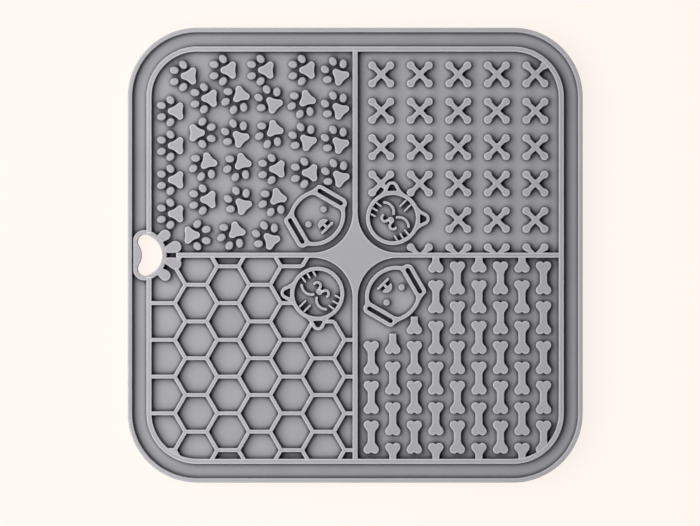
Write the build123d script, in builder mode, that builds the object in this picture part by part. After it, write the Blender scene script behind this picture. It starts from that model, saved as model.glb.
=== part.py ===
from build123d import *
import os
from math import atan2, cos, degrees, dist, hypot, radians, sin, sqrt

# Square silicone lick mat, lying face up on its suction cups, lengths in millimetres

# Whole mat
mat_side = 200.0
corner_radius = 30.5
sheet_thickness = 2.0
rib_height = 4.0
detail_height = 3.6

# Rim, moat, inner frame and dividers with their star plate
rim_width = 2.0
moat_width = 6.2
frame_width = 2.3
divider_width = 2.3
star_radius = 17.6

# Hanging hole in the shape of a paw, measured from the line through its two lobes
hole_inset = 7.5
hole_lobe_radius = 3.2
hole_lobe_spread = 5.9
hole_front_reach = 7.6
hole_dent_reach = 1.5
collar_width = 2.1
collar_gap = 0.4
hanging_toe_shares = (
    ((0.71, 0.76, 0.195), (0.93, 0.92, 0.25)),
    ((1.05, 0.27, 0.175), (1.39, 0.38, 0.28)),
)
divider_start_share = 1.42

# Paw prints: pad and toe sizes, then places in the quadrant and headings in degrees
pad_length = 9.9
pad_width = 10.7
pad_round = 1.15
pad_notch = 0.9
pad_back_share = 0.524
pad_waist_shares = (0.45, 0.377)
paw_length = 12.3
toe_length = 4.25
toe_width = 3.45
toe_seat_shares = ((0.321, 0.203, 12), (0.0, 0.398, 50))
paw_place_shares = (
    (0.158, 0.121, 180), (0.356, 0.092, 180), (0.543, 0.092, 180), (0.748, 0.092, 180),
    (0.915, 0.100, 135),
    (0.094, 0.296, 180), (0.261, 0.232, 180), (0.420, 0.238, 225), (0.585, 0.240, 135),
    (0.750, 0.259, 225), (0.915, 0.270, 135),
    (0.094, 0.468, 180), (0.253, 0.404, 0), (0.418, 0.409, 135), (0.588, 0.409, 225),
    (0.754, 0.427, 135), (0.915, 0.440, 135),
    (0.094, 0.638, 180), (0.259, 0.570, 225), (0.429, 0.573, 225), (0.598, 0.584, 180),
    (0.761, 0.603, 180), (0.917, 0.607, 135),
    (0.094, 0.807, 180), (0.255, 0.736, 180), (0.432, 0.744, 135), (0.605, 0.747, 225),
    (0.228, 0.913, 0), (0.399, 0.914, 225), (0.572, 0.917, 135),
)

# Ball-ended crosses in columns counted from the divider and rows counted from the top
cross_columns = 5
cross_rows = 6
cross_pitch_x = 16.95
cross_pitch_y = 16.0
cross_inset_x = 10.2
cross_inset_y = 10.0
cross_span = 11.6
cross_arm_width = 2.25
cross_ball_radius = 1.8
crosses_under_the_cat = {(0, 4), (0, 5), (1, 4)}

# Bones in staggered columns counted from the divider and rows counted downwards
bone_columns = 9
bone_rows = 6
bone_pitch_x = 9.47
bone_pitch_y = 17.5
bone_first_x = 7.1
bone_first_y = 10.0
bone_odd_first_share = 0.023
bone_odd_pitch_share = 1.022
bone_length = 14.7
bone_width = 6.9
bone_shaft_width = 3.2
bone_lobe_radius = 1.9
bone_shoulder_drop = 3.05
bone_shoulder_turn = 40.0
bones_under_the_dog = {(0, 0), (0, 1), (1, 0), (1, 1), (2, 0)}
bone_stub_shares = {(1, 2): 0.24, (2, 1): 0.08}

# Honeycomb of flat-topped cells
comb_pitch = 16.16
comb_rib_width = 1.75
comb_offset_y = 4.9
comb_columns = 8
comb_rows = 8
comb_clear_left_share = 1.33
comb_clear_bottom_share = 1.56
comb_clear_top_share = 0.18
comb_hole_clear_share = 1.6
comb_scrap_share = 0.9

# Animal faces, two of each kind, crown pointing away from the middle of the mat
face_offset = 16.6
face_drop = 0.3
face_line = 1.8

cat_radius = 11.9
cat_ear_angle = 46.5
cat_ear_rise = 7.75
cat_ear_spread_share = 0.852
cat_ear_round = 2.9
cat_ear_hole_gap = 0.1
cat_ear_hole_height = 4.2
cat_ear_hole_half_width = 2.2
cat_ear_hole_round = 0.35
cat_ear_hole_top_round = 1.2
cat_stroke_width = 1.25
whisker_width = 0.9
cat_eye_shares = ((0.09, 0.13), (0.35, 0.285), (0.63, 0.19))
cat_mouth_shares = ((0.336, -0.18), (0.20, -0.328), (0.085, -0.20))
cat_nose_shares = (-0.09, 0.11, 0.10)
cat_brow_shares = ((0.12, 0.50), (0.12, 0.80))
cat_whisker_shares = (
    ((0.88, -0.03), (0.63, 0.00)),
    ((0.85, -0.28), (0.61, -0.215)),
    ((0.74, -0.48), (0.52, -0.42)),
)

dog_radius = 11.8
dog_width_share = 1.12
dog_crown_shift = 0.3
dog_ear_out = 10.55
dog_ear_up = 2.55
dog_ear_tilt = 15.0
dog_ear_slot_length = 12.6
dog_ear_slot_width = 1.8
dog_eye_radius = 1.5
dog_eye_spread = 4.7
dog_eye_up = 0.8
dog_nose_half_width = 2.7
dog_nose_height = 2.5
dog_nose_base = 4.0
dog_stem_width = 1.3
dog_mouth_length = 7.2
dog_mouth_width = 1.3
dog_mouth_drop = 6.1

# Suction cups under the sheet
cup_count = 4
cup_pitch = 46.0
cup_lip_radius = 13.0
cup_lip_land = 1.4
cup_lip_thickness = 0.7
cup_skirt_height = 3.0
cup_bowl_depth = 1.8
cup_stem_radius = 5.0
cup_stem_height = 1.2

# Levels and sizes that follow from those above
sheet_level = cup_skirt_height + cup_stem_height
floor_level = sheet_level + sheet_thickness
half_side = mat_side / 2
moat_side = mat_side - 2 * rim_width
moat_radius = corner_radius - rim_width
frame_side = moat_side - 2 * moat_width
frame_radius = moat_radius - moat_width
field_side = frame_side - 2 * frame_width
field_radius = frame_radius - frame_width
field_half = field_side / 2
quadrant_side = (field_side - divider_width) / 2
quadrant_middle = (field_half + divider_width / 2) / 2
hole_x = hole_inset - half_side
collar_reach = hole_front_reach + collar_width
cat_ear_apex = cat_radius + cat_ear_rise
cat_ear_half_width = cat_ear_spread_share * cat_radius
cat_ear_hole_base = cat_radius + cat_ear_hole_gap
dog_half_width = dog_width_share * dog_radius

# Centre of each face and the turn that points its crown away from the middle
dog_upper_left = Location((-face_offset, face_offset - face_drop, 0), (0, 0, 45))
dog_lower_right = Location((face_offset, -face_offset - face_drop, 0), (0, 0, -135))
cat_upper_right = Location((face_offset, face_offset - face_drop, 0), (0, 0, -45))
cat_lower_left = Location((-face_offset, -face_offset - face_drop, 0), (0, 0, 135))


def kidney_outline(grow, dented):
    # Two lobes joined by a bulging front, with a dent or a straight line at the back
    front_radius = (hole_front_reach**2 + hole_lobe_spread**2 - hole_lobe_radius**2) / (
        2 * (hole_front_reach - hole_lobe_radius)
    )
    front_x = hole_front_reach - front_radius
    front_turn = degrees(atan2(hole_lobe_spread, -front_x))
    lobe_radius = hole_lobe_radius + grow
    back_turn = 180
    if dented:
        dent_radius = (hole_lobe_spread**2 + hole_dent_reach**2 - hole_lobe_radius**2) / (
            2 * (hole_lobe_radius - hole_dent_reach)
        )
        dent_x = -hole_dent_reach - dent_radius
        dent_turn = degrees(atan2(hole_lobe_spread, -dent_x))
        back_turn = back_turn + dent_turn
    with BuildLine() as edge:
        CenterArc((front_x, 0), front_radius + grow, -front_turn, 2 * front_turn)
        CenterArc((0, hole_lobe_spread), lobe_radius, front_turn, back_turn - front_turn)
        if dented:
            CenterArc((dent_x, 0), dent_radius, dent_turn, -2 * dent_turn)
        else:
            Line((-lobe_radius, hole_lobe_spread), (-lobe_radius, -hole_lobe_spread))
        CenterArc((0, -hole_lobe_spread), lobe_radius, -back_turn, back_turn - front_turn)
    make_face(edge.edges())


def stroke(start, end, width):
    # Straight bar with round ends
    length = dist(start, end)
    turn = degrees(atan2(end[1] - start[1], end[0] - start[0]))
    middle = ((start[0] + end[0]) / 2, (start[1] + end[1]) / 2)
    with Locations(middle):
        SlotOverall(length + width, width, rotation=turn)


def curved_stroke(start, middle, end, width):
    # Bar that bends through a middle point, with round ends
    with BuildLine() as bend:
        ThreePointArc(start, middle, end)
    trace(bend.edges(), line_width=width)
    with Locations(start, end):
        Circle(width / 2)


def scaled(points, size, side=1):
    return [(side * across * size, up * size) for across, up in points]


# Outlines that several pieces share

with BuildSketch() as hole_outline:
    kidney_outline(0, True)

with BuildSketch() as collar_outline:
    kidney_outline(collar_width, False)
    with Locations((collar_gap + rim_width - hole_inset, 0)):
        Rectangle(
            2 * collar_reach + hole_inset,
            2 * mat_side,
            align=(Align.MIN, Align.CENTER),
            mode=Mode.INTERSECT,
        )

with BuildSketch() as toe_outline:
    for base_shares, tip_shares in hanging_toe_shares:
        for side in (1, -1):
            with BuildSketch(mode=Mode.PRIVATE) as petal:
                for along, across, radius in (base_shares, tip_shares):
                    with Locations((along * collar_reach, side * across * collar_reach)):
                        Circle(radius * collar_reach)
                make_hull()
            add(petal.sketch)
    add(collar_outline.sketch, mode=Mode.SUBTRACT)

with BuildSketch() as divider_outline:
    Rectangle(field_side, divider_width)
    Rectangle(divider_width, field_side)
    inner_corners = divider_outline.vertices().sort_by(SortBy.DISTANCE)[:4]
    fillet(inner_corners, star_radius)
    with Locations((-half_side, 0)):
        Rectangle(
            hole_inset + divider_start_share * collar_reach,
            2 * divider_width,
            align=(Align.MIN, Align.CENTER),
            mode=Mode.SUBTRACT,
        )
    with Locations((hole_x, 0)):
        add(toe_outline.sketch, mode=Mode.SUBTRACT)

with BuildSketch() as cat_silhouette:
    Circle(cat_radius)
    for side in (1, -1):
        with BuildSketch(mode=Mode.PRIVATE) as cat_ear:
            with BuildLine():
                Polyline((-cat_ear_half_width, 0), (0, cat_ear_apex), (cat_ear_half_width, 0), close=True)
            make_face()
            fillet(cat_ear.vertices().sort_by(Axis.Y)[-1], cat_ear_round)
        with Locations(Location((0, 0, 0), (0, 0, side * cat_ear_angle))):
            add(cat_ear.sketch)

with BuildSketch() as cat_head_outline:
    add(cat_silhouette.sketch)
    Circle(cat_radius - face_line, mode=Mode.SUBTRACT)
    for side in (1, -1):
        with BuildSketch(mode=Mode.PRIVATE) as ear_hole:
            with BuildLine():
                Polyline(
                    (-cat_ear_hole_half_width, cat_ear_hole_base),
                    (0, cat_ear_hole_base + cat_ear_hole_height),
                    (cat_ear_hole_half_width, cat_ear_hole_base),
                    close=True,
                )
            make_face()
            fillet(ear_hole.vertices().sort_by(Axis.Y)[-1], cat_ear_hole_top_round)
            fillet(ear_hole.vertices().sort_by(Axis.Y)[:2], cat_ear_hole_round)
        with Locations(Location((0, 0, 0), (0, 0, side * cat_ear_angle))):
            add(ear_hole.sketch, mode=Mode.SUBTRACT)

with BuildSketch() as cat_detail_outline:
    nose_drop, nose_half_width, nose_half_height = (share * cat_radius for share in cat_nose_shares)
    with Locations((0, nose_drop)):
        Ellipse(nose_half_width, nose_half_height)
    for side in (1, -1):
        curved_stroke(*scaled(cat_eye_shares, cat_radius, side), cat_stroke_width)
        curved_stroke(*scaled(cat_mouth_shares, cat_radius, side), cat_stroke_width)
        stroke(*scaled(cat_brow_shares, cat_radius, side), whisker_width)
        for whisker in cat_whisker_shares:
            stroke(*scaled(whisker, cat_radius, side), whisker_width)
    Circle(cat_radius - face_line, mode=Mode.INTERSECT)

with BuildSketch() as dog_ears:
    for side in (1, -1):
        with Locations((side * dog_ear_out, dog_ear_up)):
            SlotOverall(
                dog_ear_slot_length + 2 * face_line,
                dog_ear_slot_width + 2 * face_line,
                rotation=90 + side * dog_ear_tilt,
            )

with BuildSketch() as dog_silhouette:
    with Locations((0, dog_crown_shift)):
        Ellipse(dog_half_width, dog_radius)
    add(dog_ears.sketch)

with BuildSketch() as dog_head_outline:
    add(dog_silhouette.sketch)
    with Locations((0, dog_crown_shift)):
        Ellipse(dog_half_width - face_line, dog_radius - face_line, mode=Mode.SUBTRACT)
    with BuildSketch(mode=Mode.PRIVATE) as ear_loops:
        add(dog_ears.sketch)
        for side in (1, -1):
            with Locations((side * dog_ear_out, dog_ear_up)):
                SlotOverall(
                    dog_ear_slot_length,
                    dog_ear_slot_width,
                    rotation=90 + side * dog_ear_tilt,
                    mode=Mode.SUBTRACT,
                )
    with BuildSketch(mode=Mode.PRIVATE) as ear_slots:
        add(dog_ears.sketch)
        add(ear_loops.sketch, mode=Mode.SUBTRACT)
    add(ear_loops.sketch)
    add(ear_slots.sketch, mode=Mode.SUBTRACT)

with BuildSketch() as dog_detail_outline:
    with Locations((dog_eye_spread, dog_eye_up), (-dog_eye_spread, dog_eye_up)):
        Circle(dog_eye_radius)
    with BuildSketch(mode=Mode.PRIVATE) as nose:
        with Locations((0, -dog_nose_base)):
            Ellipse(dog_nose_half_width, dog_nose_height)
            Rectangle(
                2 * dog_nose_half_width,
                dog_nose_height,
                align=(Align.CENTER, Align.MIN),
                mode=Mode.INTERSECT,
            )
    add(nose.sketch)
    stroke((0, -dog_nose_base), (0, -dog_mouth_drop), dog_stem_width)
    with Locations((0, -dog_mouth_drop)):
        SlotOverall(dog_mouth_length, dog_mouth_width)
    with Locations((0, dog_crown_shift)):
        Ellipse(dog_half_width - face_line, dog_radius - face_line, mode=Mode.INTERSECT)
    add(dog_ears.sketch, mode=Mode.SUBTRACT)

with BuildSketch() as open_floor:
    RectangleRounded(field_side, field_side, field_radius)
    add(divider_outline.sketch, mode=Mode.SUBTRACT)
    with Locations((hole_x, 0)):
        add(collar_outline.sketch, mode=Mode.SUBTRACT)
        add(toe_outline.sketch, mode=Mode.SUBTRACT)
    with Locations(dog_upper_left, dog_lower_right):
        add(dog_silhouette.sketch, mode=Mode.SUBTRACT)
    with Locations(cat_upper_right, cat_lower_left):
        add(cat_silhouette.sketch, mode=Mode.SUBTRACT)


def keep_quadrant(side_x, side_y):
    # Cuts the nubs of the sketch in hand back to the open floor of one quadrant
    add(open_floor.sketch, mode=Mode.INTERSECT)
    with Locations((side_x * quadrant_middle, side_y * quadrant_middle)):
        Rectangle(quadrant_side, quadrant_side, mode=Mode.INTERSECT)


# Flat sheet that carries everything, with the hanging hole through it

with BuildPart() as base_sheet:
    with BuildSketch(Plane.XY.offset(sheet_level)):
        RectangleRounded(mat_side, mat_side, corner_radius)
        with Locations((hole_x, 0)):
            add(hole_outline.sketch, mode=Mode.SUBTRACT)
    extrude(amount=sheet_thickness)

# Spill rim round the edge

with BuildPart() as outer_rim:
    with BuildSketch(Plane.XY.offset(floor_level)):
        RectangleRounded(mat_side, mat_side, corner_radius)
        RectangleRounded(moat_side, moat_side, moat_radius, mode=Mode.SUBTRACT)
    extrude(amount=rib_height)

# Inner frame, broken by the collar of the hanging hole

with BuildPart() as inner_frame:
    with BuildSketch(Plane.XY.offset(floor_level)):
        RectangleRounded(frame_side, frame_side, frame_radius)
        RectangleRounded(field_side, field_side, field_radius, mode=Mode.SUBTRACT)
        with Locations((hole_x, 0)):
            add(collar_outline.sketch, mode=Mode.SUBTRACT)
            add(toe_outline.sketch, mode=Mode.SUBTRACT)
    extrude(amount=rib_height)

# Two dividers that widen into a star plate where they cross

with BuildPart() as divider_cross:
    with BuildSketch(Plane.XY.offset(floor_level)):
        add(divider_outline.sketch)
    extrude(amount=rib_height)

# Collar and toes round the hanging hole

with BuildPart() as hanging_collar:
    with BuildSketch(Plane.XY.offset(floor_level)):
        with Locations((hole_x, 0)):
            add(collar_outline.sketch)
            add(hole_outline.sketch, mode=Mode.SUBTRACT)
    extrude(amount=rib_height)

with BuildPart() as hanging_toes:
    with BuildSketch(Plane.XY.offset(floor_level)):
        with Locations((hole_x, 0)):
            add(toe_outline.sketch)
    extrude(amount=rib_height)

# Paw prints of the upper left quadrant

paw_places = [
    Location((across * quadrant_side - field_half, field_half - down * quadrant_side, 0), (0, 0, heading))
    for across, down, heading in paw_place_shares
]

with BuildSketch() as pad_outline:
    waist_along_share, waist_across_share = pad_waist_shares
    pad_back = -pad_back_share * paw_length
    pad_tip = pad_back + pad_length
    pad_middle = pad_back + waist_along_share * pad_length
    pad_waist = waist_across_share * pad_width / 2
    with BuildLine():
        Polyline(
            (pad_tip, 0),
            (pad_middle, pad_waist),
            (pad_back, pad_width / 2),
            (pad_back + pad_notch, 0),
            (pad_back, -pad_width / 2),
            (pad_middle, -pad_waist),
            close=True,
        )
    make_face()
    outer_corners = [
        pad_outline.vertices().sort_by_distance(corner)[0]
        for corner in ((pad_tip, 0), (pad_back, pad_width / 2), (pad_back, -pad_width / 2))
    ]
    fillet(outer_corners, pad_round)

with BuildPart() as paw_pads:
    with BuildSketch(Plane.XY.offset(floor_level)):
        with Locations(*paw_places):
            add(pad_outline.sketch)
        keep_quadrant(-1, 1)
    extrude(amount=rib_height)

with BuildPart() as paw_toes:
    with BuildSketch(Plane.XY.offset(floor_level)):
        with Locations(*paw_places):
            for forward, across, turn in toe_seat_shares:
                with Locations(
                    Location((forward * paw_length, across * paw_length, 0), (0, 0, turn)),
                    Location((forward * paw_length, -across * paw_length, 0), (0, 0, -turn)),
                ):
                    Ellipse(toe_length / 2, toe_width / 2)
            add(pad_outline.sketch, mode=Mode.SUBTRACT)
        keep_quadrant(-1, 1)
    extrude(amount=rib_height)

# Crosses of the upper right quadrant

with BuildSketch() as cross_outline:
    ball_seat = cross_span / 2 - cross_ball_radius
    stroke((-ball_seat, -ball_seat), (ball_seat, ball_seat), cross_arm_width)
    stroke((-ball_seat, ball_seat), (ball_seat, -ball_seat), cross_arm_width)
    with GridLocations(2 * ball_seat, 2 * ball_seat, 2, 2):
        Circle(cross_ball_radius)

cross_places = [
    (
        field_half - cross_inset_x - (cross_columns - 1 - column) * cross_pitch_x,
        field_half - cross_inset_y - row * cross_pitch_y,
    )
    for column in range(cross_columns)
    for row in range(cross_rows)
    if (column, row) not in crosses_under_the_cat
]

with BuildPart() as cross_nubs:
    with BuildSketch(Plane.XY.offset(floor_level)):
        with Locations(*cross_places):
            add(cross_outline.sketch)
        keep_quadrant(1, 1)
    extrude(amount=rib_height)

# Bones of the lower right quadrant

with BuildSketch() as bone_outline:
    lobe_out = bone_width / 2 - bone_lobe_radius
    lobe_up = bone_length / 2 - bone_lobe_radius
    shoulder_out = lobe_out + bone_lobe_radius * cos(radians(bone_shoulder_turn))
    shoulder_up = lobe_up - bone_lobe_radius * sin(radians(bone_shoulder_turn))
    Rectangle(bone_shaft_width, 2 * lobe_up)
    with GridLocations(2 * lobe_out, 2 * lobe_up, 2, 2):
        Circle(bone_lobe_radius)
    for end in (1, -1):
        with BuildLine():
            Polyline(
                (shoulder_out, end * shoulder_up),
                (bone_shaft_width / 2, end * (lobe_up - bone_shoulder_drop)),
                (-bone_shaft_width / 2, end * (lobe_up - bone_shoulder_drop)),
                (-shoulder_out, end * shoulder_up),
                close=True,
            )
        make_face()


def bone_place(column, row):
    # Odd columns are staggered and a little more widely spaced
    if column % 2:
        down = (bone_odd_first_share + row * bone_odd_pitch_share) * bone_pitch_y
    else:
        down = bone_first_y + row * bone_pitch_y
    return (bone_first_x + column * bone_pitch_x, -down)


whole_bones = [
    bone_place(column, row)
    for column in range(bone_columns)
    for row in range(bone_rows)
    if (column, row) not in bones_under_the_dog and (column, row) not in bone_stub_shares
]

with BuildPart() as bone_nubs:
    with BuildSketch(Plane.XY.offset(floor_level)):
        with Locations(*whole_bones):
            add(bone_outline.sketch)
        for (column, row), top_share in bone_stub_shares.items():
            with BuildSketch(mode=Mode.PRIVATE) as stub_outline:
                add(bone_outline.sketch)
                with Locations((0, top_share * bone_length / 2)):
                    Rectangle(
                        bone_width,
                        bone_length * (1 + top_share) / 2,
                        align=(Align.CENTER, Align.MAX),
                        mode=Mode.INTERSECT,
                    )
            with Locations(bone_place(column, row)):
                add(stub_outline.sketch)
        keep_quadrant(1, -1)
    extrude(amount=rib_height)

# Honeycomb of the lower left quadrant, one mitred bar for each side of a cell

with BuildSketch() as comb_floor:
    add(open_floor.sketch)
    keep_quadrant(-1, -1)

cell_radius = comb_pitch / sqrt(3)
mitre_run = comb_rib_width / (2 * sqrt(3))


def comb_corner(centre, turn):
    return (centre[0] + cell_radius * cos(radians(turn)), centre[1] + cell_radius * sin(radians(turn)))


def comb_bar(start, end):
    # Six-sided bar whose pointed ends meet two others at each corner of a cell
    along = Vector(end[0] - start[0], end[1] - start[1]).normalized()
    across = Vector(-along.Y, along.X) * (comb_rib_width / 2)
    first = Vector(*start) + along * mitre_run
    last = Vector(*end) - along * mitre_run
    with BuildLine() as edge:
        Polyline(start, first + across, last + across, end, last - across, first - across, close=True)
    make_face(edge.edges())


def is_clear(middle):
    # Cells leave the floor free beside the cat's chin and round the hanging hole
    beside_cat = middle[0] > -comb_clear_left_share * face_offset and (
        -comb_clear_bottom_share * face_offset < middle[1] < -comb_clear_top_share * face_offset
    )
    beside_hole = hypot(middle[0] - hole_x, middle[1]) < comb_hole_clear_share * collar_reach
    return beside_cat or beside_hole


comb_bars = []
for column in range(comb_columns):
    for row in range(comb_rows):
        stagger = 0 if column % 2 else comb_pitch / 2
        cell = (
            -column * cell_radius * 3 / 2,
            stagger - comb_offset_y - row * comb_pitch,
        )
        for start_turn in (60, 120, 180):
            start = comb_corner(cell, start_turn)
            end = comb_corner(cell, start_turn + 60)
            if is_clear(((start[0] + end[0]) / 2, (start[1] + end[1]) / 2)):
                continue
            with BuildSketch() as bar_outline:
                comb_bar(start, end)
            trimmed_bar = bar_outline.sketch & comb_floor.sketch
            if trimmed_bar is None or trimmed_bar.area < comb_scrap_share * comb_rib_width**2:
                continue
            with BuildPart() as comb_rib:
                with BuildSketch(Plane.XY.offset(floor_level)):
                    add(trimmed_bar)
                extrude(amount=rib_height)
            comb_bars.extend(comb_rib.solids())
honeycomb_ribs = Compound(children=comb_bars)

# Raised outlines and lower details of the four faces


def raised(outline, place, height):
    with BuildPart() as piece:
        with BuildSketch(Plane.XY.offset(floor_level)):
            with Locations(place):
                add(outline.sketch)
            add(divider_outline.sketch, mode=Mode.SUBTRACT)
        extrude(amount=height)
    return piece.part


dog_head_upper_left = raised(dog_head_outline, dog_upper_left, rib_height)
dog_face_upper_left = raised(dog_detail_outline, dog_upper_left, detail_height)
dog_head_lower_right = raised(dog_head_outline, dog_lower_right, rib_height)
dog_face_lower_right = raised(dog_detail_outline, dog_lower_right, detail_height)
cat_head_upper_right = raised(cat_head_outline, cat_upper_right, rib_height)
cat_face_upper_right = raised(cat_detail_outline, cat_upper_right, detail_height)
cat_head_lower_left = raised(cat_head_outline, cat_lower_left, rib_height)
cat_face_lower_left = raised(cat_detail_outline, cat_lower_left, detail_height)

# Suction cups: short stems under the sheet, each with a domed skirt

with BuildPart() as cup_stems:
    with BuildSketch(Plane.XY.offset(cup_skirt_height)):
        with GridLocations(cup_pitch, cup_pitch, cup_count, cup_count):
            Circle(cup_stem_radius)
    extrude(amount=cup_stem_height)

with BuildPart() as cup:
    with BuildSketch(Plane.XZ):
        with BuildLine():
            Polyline(
                (0, cup_bowl_depth),
                (0, cup_skirt_height),
                (cup_stem_radius, cup_skirt_height),
            )
            TangentArc(
                (cup_stem_radius, cup_skirt_height),
                (cup_lip_radius, cup_lip_thickness),
                tangent=(1, 0),
            )
            Polyline(
                (cup_lip_radius, cup_lip_thickness),
                (cup_lip_radius, 0),
                (cup_lip_radius - cup_lip_land, 0),
            )
            TangentArc((0, cup_bowl_depth), (cup_lip_radius - cup_lip_land, 0), tangent=(1, 0))
        make_face()
    revolve(axis=Axis.Z)

with BuildPart() as cup_skirts:
    with GridLocations(cup_pitch, cup_pitch, cup_count, cup_count):
        add(cup.part)

# One file for each piece

pieces = {
    "base_sheet": base_sheet.part,
    "outer_rim": outer_rim.part,
    "inner_frame": inner_frame.part,
    "divider_cross": divider_cross.part,
    "hanging_collar": hanging_collar.part,
    "hanging_toes": hanging_toes.part,
    "paw_pads": paw_pads.part,
    "paw_toes": paw_toes.part,
    "cross_nubs": cross_nubs.part,
    "bone_nubs": bone_nubs.part,
    "honeycomb_ribs": honeycomb_ribs,
    "dog_head_upper_left": dog_head_upper_left,
    "dog_face_upper_left": dog_face_upper_left,
    "dog_head_lower_right": dog_head_lower_right,
    "dog_face_lower_right": dog_face_lower_right,
    "cat_head_upper_right": cat_head_upper_right,
    "cat_face_upper_right": cat_face_upper_right,
    "cat_head_lower_left": cat_head_lower_left,
    "cat_face_lower_left": cat_face_lower_left,
    "cup_stems": cup_stems.part,
    "cup_skirts": cup_skirts.part,
}
os.makedirs("parts", exist_ok=True)
for name, piece in pieces.items():
    piece.label = name
    export_step(piece, "parts/" + name + ".step")
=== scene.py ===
from itertools import takewhile
from math import acos, atan2, cos, degrees, dist, hypot, pi, radians, sin, sqrt, tan

import bpy
from mathutils import Matrix, Vector


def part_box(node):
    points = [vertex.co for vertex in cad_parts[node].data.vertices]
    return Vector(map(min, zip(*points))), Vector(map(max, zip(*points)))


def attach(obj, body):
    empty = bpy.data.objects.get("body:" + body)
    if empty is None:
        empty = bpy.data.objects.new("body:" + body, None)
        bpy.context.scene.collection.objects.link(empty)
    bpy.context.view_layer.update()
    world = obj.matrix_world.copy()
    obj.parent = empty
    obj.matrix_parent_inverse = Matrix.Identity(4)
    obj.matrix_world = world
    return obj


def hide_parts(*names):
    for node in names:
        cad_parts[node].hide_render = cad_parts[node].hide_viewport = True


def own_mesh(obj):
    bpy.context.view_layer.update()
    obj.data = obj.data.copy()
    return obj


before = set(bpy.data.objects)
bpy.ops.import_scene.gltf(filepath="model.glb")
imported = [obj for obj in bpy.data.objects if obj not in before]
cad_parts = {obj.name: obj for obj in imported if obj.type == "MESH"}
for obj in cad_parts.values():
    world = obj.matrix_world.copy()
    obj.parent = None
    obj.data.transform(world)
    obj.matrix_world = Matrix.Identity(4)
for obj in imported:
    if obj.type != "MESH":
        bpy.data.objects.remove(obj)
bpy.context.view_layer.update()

mm = 0.001  # lengths below are in millimetres

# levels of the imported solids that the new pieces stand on
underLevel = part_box("base_sheet")[0].z / mm
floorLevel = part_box("base_sheet")[1].z / mm
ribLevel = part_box("inner_frame")[1].z / mm
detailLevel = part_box("dog_face_upper_left")[1].z / mm
ribHeight = ribLevel - floorLevel
detailHeight = detailLevel - floorLevel
seamStep = 0.02  # ribs that run into each other differ this much in height
mergeGap = 0.02  # corners closer than this become one, unless a piece has its own gap
levelSlack = 0.01  # faces this close to the highest or lowest level belong to it
flatNormal = 0.9  # least upright share of the normal of a flat face
flatAngle = 1  # degrees of bend under which neighbouring faces become one
smoothAngle = 40  # degrees of bend under which neighbouring faces are shaded as one
rollSteps = 3  # insets that roll an edge over, unless a piece has its own count
print("frame loaded, ribs from", round(floorLevel, 2), "to", round(ribLevel, 2))

# camera straight above the mat, far away, as in the photograph
cameraSet = {
    "lens": 234.0, "sensor": 36.0, "distance": 2000.0, "aim": (-2.28, -3.44), "farClip": 100000.0,
}
bpy.ops.object.select_all(action="DESELECT")
bpy.ops.object.camera_add(
    location=(cameraSet["aim"][0] * mm, cameraSet["aim"][1] * mm, (ribLevel + cameraSet["distance"]) * mm),
    rotation=(0, 0, 0),
)
camera = bpy.context.object
camera.name = "topCamera"
camera.data.lens = cameraSet["lens"]
camera.data.sensor_width = cameraSet["sensor"]
camera.data.clip_end = cameraSet["farClip"] * mm
bpy.context.scene.camera = camera
print("camera set")


# outlines in plan, as lists of corners

def arc(centre, radius, start, end, steps):
    turns = [radians(start + (end - start) * n / steps) for n in range(steps + 1)]
    return [(centre[0] + radius * cos(turn), centre[1] + radius * sin(turn)) for turn in turns]


def circle(centre, radius, steps):
    return arc(centre, radius, 0, 360, steps)[:-1]


def roundCorners(corners, radii, steps):
    # each corner that has a radius becomes an arc touching both of its sides
    outline = []
    for n, (corner, radius) in enumerate(zip(corners, radii)):
        if not radius:
            outline.append(corner)
            continue
        here = Vector(corner)
        back = (Vector(corners[n - 1]) - here).normalized()
        ahead = (Vector(corners[(n + 1) % len(corners)]) - here).normalized()
        halfTurn = back.angle(ahead) / 2
        centre = here + (back + ahead).normalized() * (radius / sin(halfTurn))
        touch = back * (radius / tan(halfTurn)) + here - centre
        leave = ahead * (radius / tan(halfTurn)) + here - centre
        start = degrees(atan2(touch.y, touch.x))
        sweep = (degrees(atan2(leave.y, leave.x)) - start + 180) % 360 - 180
        outline += arc(centre, radius, start, start + sweep, steps)
    return outline


def roundedSquare(side, radius, steps):
    half = side / 2
    return roundCorners([(half, half), (-half, half), (-half, -half), (half, -half)], [radius] * 4, steps)


def capsule(start, end, startRadius, endRadius, steps):
    # outline round two circles of any radius
    heading = degrees(atan2(end[1] - start[1], end[0] - start[0]))
    lean = degrees(acos((startRadius - endRadius) / dist(start, end)))
    return (arc(end, endRadius, heading - lean, heading + lean, steps)
            + arc(start, startRadius, heading + lean, heading + 360 - lean, steps))


def bentBar(start, middle, end, width, steps):
    # round-ended bar along the circle through three points
    (ax, ay), (bx, by), (cx, cy) = start, middle, end
    span = 2 * (ax * (by - cy) + bx * (cy - ay) + cx * (ay - by))
    aa, bb, cc = ax**2 + ay**2, bx**2 + by**2, cx**2 + cy**2
    centre = ((aa * (by - cy) + bb * (cy - ay) + cc * (ay - by)) / span,
              (aa * (cx - bx) + bb * (ax - cx) + cc * (bx - ax)) / span)
    radius = dist(centre, start)
    first, through, last = (degrees(atan2(p[1] - centre[1], p[0] - centre[0])) for p in (start, middle, end))
    sweep = (last - first) % 360
    if (through - first) % 360 > sweep:
        sweep -= 360
    last = first + sweep
    side = 180 if sweep > 0 else -180
    return (arc(centre, radius + width / 2, first, last, steps)
            + arc(end, width / 2, last, last + side, steps)[1:-1]
            + arc(centre, radius - width / 2, last, first, steps)
            + arc(start, width / 2, first - side, first, steps)[1:-1])


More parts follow.
